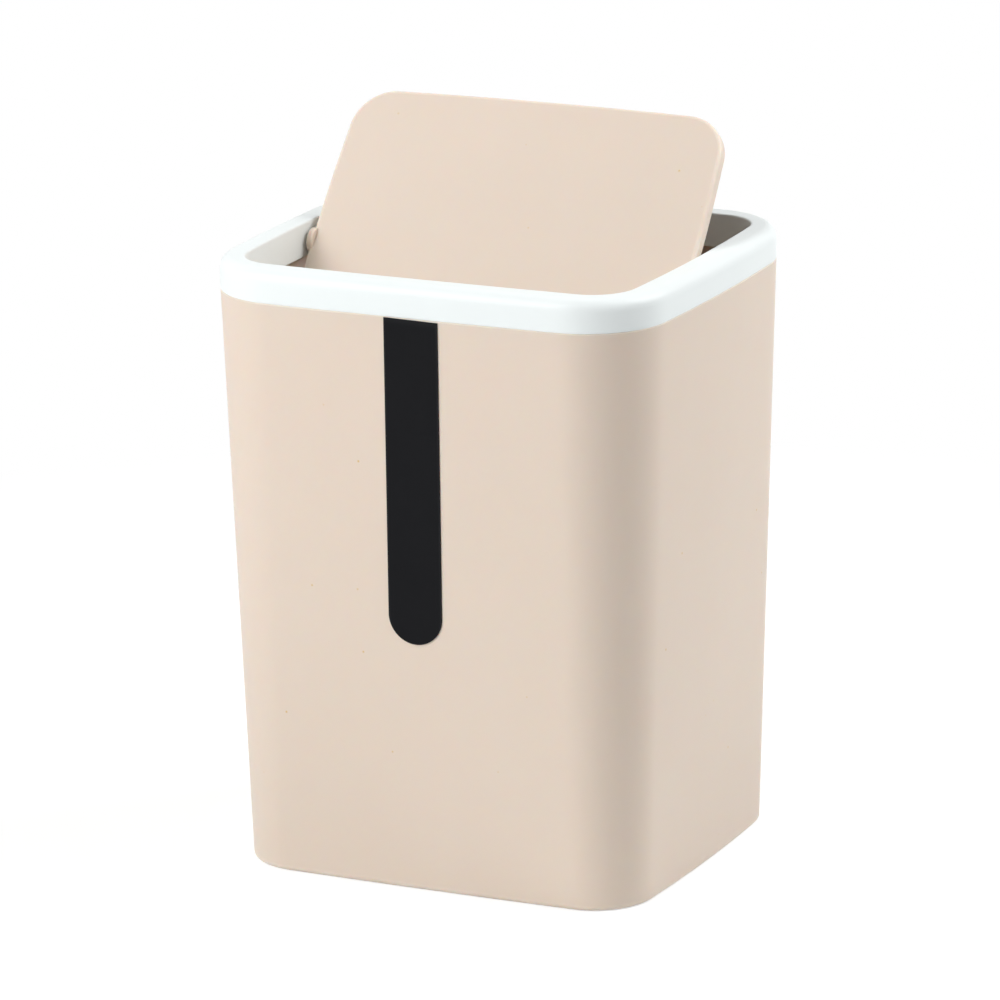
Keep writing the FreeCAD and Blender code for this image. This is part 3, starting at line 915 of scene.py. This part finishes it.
@dataclass
class SwingLid:
    """The beige lid: a flanged panel with a spine, a boss and a pin at each side, half open."""

    plan: BowedPlan
    ring: TopRing
    side_gap: float = 1.2
    slide: float = 0.2
    end_gap: float = 2.0
    thickness: float = 3.5
    skin: float = 1.8
    flange: float = 1.8
    corner: float = 11.5
    edge_round: float = 0.8
    foot_round: float = 0.3
    hollow_round: float = 0.4
    spine: float = 1.6
    spine_round: float = 0.25
    spine_lift: float = 0.02
    spine_sink: float = 0.4
    open_angle: float = 50.5
    boss: float = 3.5
    boss_inset: float = 1.0
    boss_gap: float = 0.55
    boss_round: float = 0.35
    boss_points: int = 64
    pin: float = 1.75
    pin_reach: float = 1.9
    pin_round: float = 0.3
    pin_root: float = 0.15
    pin_guard: float = 0.1
    panel: float = 4.0

    def side(self) -> float:
        """Place of the lid's right side along X."""
        return self.ring.mouth_side() - self.side_gap

    def tray(self) -> Surface:
        """Returns the flanged panel, level: its section carried round the plan and closed."""
        low, high = -self.thickness / 2, self.thickness / 2
        under = high - self.skin
        corners = [
            [-self.flange - self.panel, under], [-self.flange, under],
            [-self.flange, low], [0.0, low],
            [0.0, high], [-self.panel, high],
        ]
        radii = [0, self.hollow_round, self.foot_round, self.foot_round, self.edge_round, 0]
        offset, level = rounded_section(corners, radii).T
        side = offset - self.ring.width - self.side_gap
        end = offset - self.ring.width - self.end_gap
        return closed_at_middles(self.plan.carried(side, end, self.corner + offset, level))

    def pivots(self) -> Surface:
        """Returns the two bosses with their pins, turned about the pivot axis."""
        start = self.side() - self.boss_inset
        face = self.ring.mouth_side() - self.boss_gap
        end = self.ring.mouth_side() + self.pin_reach
        corners = [
            [start, AXIS_RADIUS], [start, self.boss],
            [face, self.boss], [face, self.pin],
            [end, self.pin], [end, AXIS_RADIUS],
        ]
        radii = [0, self.boss_round, self.boss_round, self.pin_root, self.pin_round, 0]
        section = rounded_section(corners, radii, guard=self.pin_guard)
        return revolved(section, self.boss_points).paired()

    def spine_bar(self) -> Surface:
        """Returns the stiffening bar under the panel, from flange to flange.

        Its rounded section lies across Y and is drawn out along X. It is sunk a little into the
        panel and its foot lies a little above the flange's.
        """
        half = self.spine / 2
        foot = self.spine_lift - self.thickness / 2
        head = self.thickness / 2 - self.skin + self.spine_sink
        corners = [[-half, foot], [half, foot], [half, head], [-half, head]]
        radii = [self.spine_round] * 2 + [HIDDEN_ROUND] * 2
        bar = rounded_section(corners, radii, closed=True, steps=FINE_STEPS, guard=FINE_GUARD)
        across, level = bar.T
        reach = self.side() - self.flange / 2
        return plate(np.array([[-reach], [reach]]), across, level)

    def opened(self, surface: Surface) -> Surface:
        """Turns a level surface open about the pivot axis and sets it at the pivots, slid right."""
        angle = math.radians(self.open_angle)
        cosine, sine = math.cos(angle), math.sin(angle)
        turn = np.array([[1, 0, 0], [0, cosine, -sine], [0, sine, cosine]])
        return surface.moved(turn, np.array([self.slide, 0, self.ring.pivot()]))

    def build(self, material: Material) -> None:
        """Makes the lid and dresses it in its finish."""
        item = new_object("lid_moulding", self.opened(self.tray()))
        combine(item, self.opened(self.spine_bar()), Join.ADD)
        combine(item, self.opened(self.pivots()), Join.ADD)
        dress(item, "swing_lid", Body.LID, material)


@dataclass
class LabelStrip:
    """The black film on the tub's front: straight above, half round below."""

    plan: BowedPlan
    tub: Tub
    width: float = 15.0
    length: float = 86.0
    thickness: float = 0.3
    top_gap: float = 0.3
    edge_round: float = 0.1
    edge_spans: int = 2
    edge_angle: float = 50.0
    tilt: float = 1.0
    across: int = 24
    straight: int = 48
    round_rows: int = 20

    def sheet(self) -> Surface:
        """Returns the film's back as a grid over the tub's front.

        A row's half width is the strip's down to the middle of the round end, and past it that
        times the cosine of the angle that the row has turned below that middle. The last row is the
        tip. The grid is then turned clockwise about the strip's middle by the tilt, as a hand set
        it, and laid on the front.
        """
        half = self.width / 2
        top = self.tub.height - self.top_gap
        pivot = top - self.length / 2
        middle = top - self.length + half
        turned = np.linspace(0, math.pi / 2, self.round_rows + 1)[1:-1]
        straight = np.linspace(top, middle, self.straight)
        level = np.concatenate([straight, middle - half * np.sin(turned)])
        reach = np.concatenate([np.full(self.straight, half), half * np.cos(turned)])
        place = np.linspace(-1, 1, self.across + 1) * reach[:, None]
        above = np.broadcast_to(level[:, None], place.shape) - pivot
        index = np.arange(place.size).reshape(place.shape)
        place, above = np.append(place, 0.0), np.append(above, -self.length / 2)
        tilt = math.radians(self.tilt)
        cosine, sine = math.cos(tilt), math.sin(tilt)
        across = place * cosine + above * sine
        height = pivot + above * cosine - place * sine
        depth = self.plan.front_face(across, -self.tub.lean(height))
        points = np.stack([across, depth, height], axis=-1)
        corners = [index[:-1, :-1], index[1:, :-1], index[1:, 1:], index[:-1, 1:]]
        quads = np.stack(corners, axis=-1)
        tip = np.full(self.across, len(points) - 1)
        fan = np.stack([index[-1, :-1], tip, index[-1, 1:]], axis=-1)
        return Surface(points, quads.reshape(-1, 4), fan)

    def build(self, material: Material) -> None:
        """Makes the strip, its thickness outwards and its edge soft, and dresses it.

        Args:
            material: Its finish.
        """
        item = new_object("strip_film", self.sheet())
        solid = item.modifiers.new("thickness", "SOLIDIFY")
        solid.thickness = self.thickness * MM
        solid.offset = 1.0
        edge = item.modifiers.new("soft_edge", "BEVEL")
        edge.width = self.edge_round * MM
        edge.segments = self.edge_spans
        edge.limit_method = "ANGLE"
        edge.angle_limit = math.radians(self.edge_angle)
        settle(item)
        dress(item, "label_strip", Body.BIN, material)


# Studio


def outward(azimuth: float, elevation: float) -> Array:
    """Returns the direction at an azimuth and an elevation, in degrees, from the bin outwards."""
    turn, rise = math.radians(azimuth), math.radians(elevation)
    level = math.cos(rise)
    return np.array([math.sin(turn) * level, -math.cos(turn) * level, math.sin(rise)])


@dataclass(frozen=True)
class SoftBox:
    """A square studio lamp that faces the bin. Azimuth runs from the front to the right."""

    name: str
    azimuth: float
    elevation: float
    distance: float
    size: float
    power: float

    def build(self, aim: Vector) -> None:
        """Makes the lamp, facing a point."""
        data = bpy.data.lights.new(self.name, "AREA")
        data.shape = "SQUARE"
        data.size = self.size
        data.energy = self.power
        lamp = bpy.data.objects.new(self.name, data)
        back = Vector(outward(self.azimuth, self.elevation))
        lamp.location = aim + back * self.distance
        lamp.rotation_euler = (-back).to_track_quat("-Z", "Y").to_euler()
        bpy.context.scene.collection.objects.link(lamp)


@dataclass(frozen=True)
class PhotoCamera:
    """The camera, fitted to the photo's outlines. Millimetres and degrees."""

    azimuth: float = 25.418
    elevation: float = 15.559
    roll: float = -0.848
    distance: float = 1766.215
    focal_widths: float = 6.766591
    aim_height: float = 80.0
    aim_right: float = -1.136
    aim_up: float = 11.501
    sensor: float = 36.0

    def build(self) -> None:
        """Makes the camera and looks through it."""
        back = outward(self.azimuth, self.elevation)
        turn, roll = math.radians(self.azimuth), math.radians(self.roll)
        level = np.array([math.cos(turn), math.sin(turn), 0.0])
        upright = np.cross(back, level)
        right = level * math.cos(roll) + upright * math.sin(roll)
        up = upright * math.cos(roll) - level * math.sin(roll)
        aim = np.array([0, 0, self.aim_height]) + self.aim_right * right + self.aim_up * up
        place = (aim + self.distance * back) * MM
        data = bpy.data.cameras.new("photo_camera")
        data.sensor_width = self.sensor
        data.lens = self.sensor * self.focal_widths
        camera = bpy.data.objects.new("photo_camera", data)
        matrix = np.eye(4)
        matrix[:3] = np.stack([right, up, back, place], axis=-1)
        camera.matrix_world = Matrix(matrix.tolist())
        bpy.context.scene.collection.objects.link(camera)
        bpy.context.scene.camera = camera


@dataclass
class Studio:
    """A pale floor, a white surround and soft lamps.

    Lengths are in metres, but the floor's drop below the foot is in millimetres.
    """

    floor_size: float = 6.0
    floor_lines: int = 9
    floor_drop: float = 0.02
    floor_colour: tuple[float, float, float] = (0.78, 0.78, 0.78)
    floor_glow: float = 0.63
    floor_share: float = 0.50
    open_floor: tuple[float, float] = (0.16, 0.40)
    ambient: float = 0.22
    aim_height: float = 0.09
    lamps: tuple[SoftBox, ...] = (
        SoftBox("left_soft_box", -30.0, 35.0, 1.3, 0.7, 10.5),
        SoftBox("low_soft_box", -30.0, 12.0, 1.3, 0.7, 2.2),
        SoftBox("right_soft_box", 125.0, 35.0, 1.3, 0.7, 7.45),
        SoftBox("lid_soft_box", 120.0, 50.0, 0.7, 0.45, 1.5),
        SoftBox("rear_soft_box", -118.0, 35.0, 1.3, 0.7, 1.6),
    )

    def seen(self, board: NodeBoard) -> Socket:
        """Returns 1 for rays from the camera, off gloss and through clear pieces, 0 for others."""
        path = board.add("ShaderNodeLightPath")
        direct = board.sum("MAXIMUM", path.outputs["Is Camera Ray"], path.outputs["Is Glossy Ray"])
        return board.sum("MAXIMUM", direct, path.outputs["Is Transmission Ray"])

    def build_floor(self) -> None:
        """Makes the floor: a square sheet that looks white and keeps the bin's shadow.

        What is seen near the bin is a share of the lit floor, with its shadow, plus a glow that
        brings it to white. It eases into plain white with the distance from the bin. Light that
        bounces meets a plain pale floor.
        """
        half = self.floor_size / 2 / MM
        edge = np.linspace(-half, half, self.floor_lines)
        across, along = np.meshgrid(edge, edge)
        points = np.stack([across, along, 0 * across - self.floor_drop], axis=-1).reshape(-1, 3)
        index = np.arange(len(points)).reshape(across.shape)
        corners = [index[:-1, :-1], index[:-1, 1:], index[1:, 1:], index[1:, :-1]]
        floor = new_object("floor", Surface(points, np.stack(corners, axis=-1).reshape(-1, 4)))
        material = bpy.data.materials.new("pale_floor")
        material.use_nodes = True
        board = NodeBoard(material.node_tree)
        seen = self.seen(board)
        matte = board.add("ShaderNodeBsdfDiffuse", {"Color": (*self.floor_colour, 1)})
        dim = board.add("ShaderNodeBsdfDiffuse", {"Color": (self.floor_share,) * 3 + (1,)})
        glow = board.add("ShaderNodeEmission", {"Strength": self.floor_glow})
        lit = board.add("ShaderNodeAddShader", {0: dim.outputs[0], 1: glow.outputs[0]})
        place = board.add("ShaderNodeTexCoord").outputs["Object"]
        away = board.add("ShaderNodeVectorMath", {0: place}, operation="LENGTH").outputs["Value"]
        far = board.ramp(away, *self.open_floor, 0.0, 1.0)
        white = board.add("ShaderNodeEmission", {"Strength": 1.0})
        faded = board.add("ShaderNodeMixShader", {0: far, 1: lit.outputs[0], 2: white.outputs[0]})
        shown = {0: seen, 1: matte.outputs[0], 2: faded.outputs[0]}
        mixed = board.add("ShaderNodeMixShader", shown)
        board.add("ShaderNodeOutputMaterial", {"Surface": mixed.outputs[0]})
        floor.data.materials.append(material)

    def build_surround(self) -> None:
        """Makes the surround: white where it is seen, and a plain even light elsewhere."""
        world = bpy.data.worlds.new("white_surround")
        world.use_nodes = True
        board = NodeBoard(world.node_tree)
        strength = board.ramp(self.seen(board), 0.0, 1.0, self.ambient, 1.0)
        light = {"Color": (1, 1, 1, 1), "Strength": strength}
        back = board.add("ShaderNodeBackground", light)
        board.add("ShaderNodeOutputWorld", {"Surface": back.outputs[0]})
        bpy.context.scene.world = world

    def build(self) -> None:
        """Makes the floor, the surround and the lamps, and keeps colours plain."""
        bpy.context.scene.view_settings.view_transform = "Standard"
        self.build_floor()
        self.build_surround()
        aim = Vector((0, 0, self.aim_height))
        for lamp in self.lamps:
            lamp.build(aim)


def main() -> None:
    """Builds the pieces in order, then the studio and the camera."""
    logging.basicConfig(level=logging.INFO, format="%(name)s %(message)s")
    grain, wear = grain_group(), wear_and_highlight_group()
    finishes = BEIGE_PLASTIC, WHITE_PLASTIC, BLACK_FILM
    beige, white, black = (finish.material(grain, wear) for finish in finishes)
    plan = BowedPlan()
    tub = Tub(plan)
    ring = TopRing(plan, tub)
    tub.build(beige)
    ring.build(white)
    SwingLid(plan, ring).build(beige)
    LabelStrip(plan, tub).build(black)
    Studio().build()
    PhotoCamera().build()


if __name__ == "__main__":
    main()
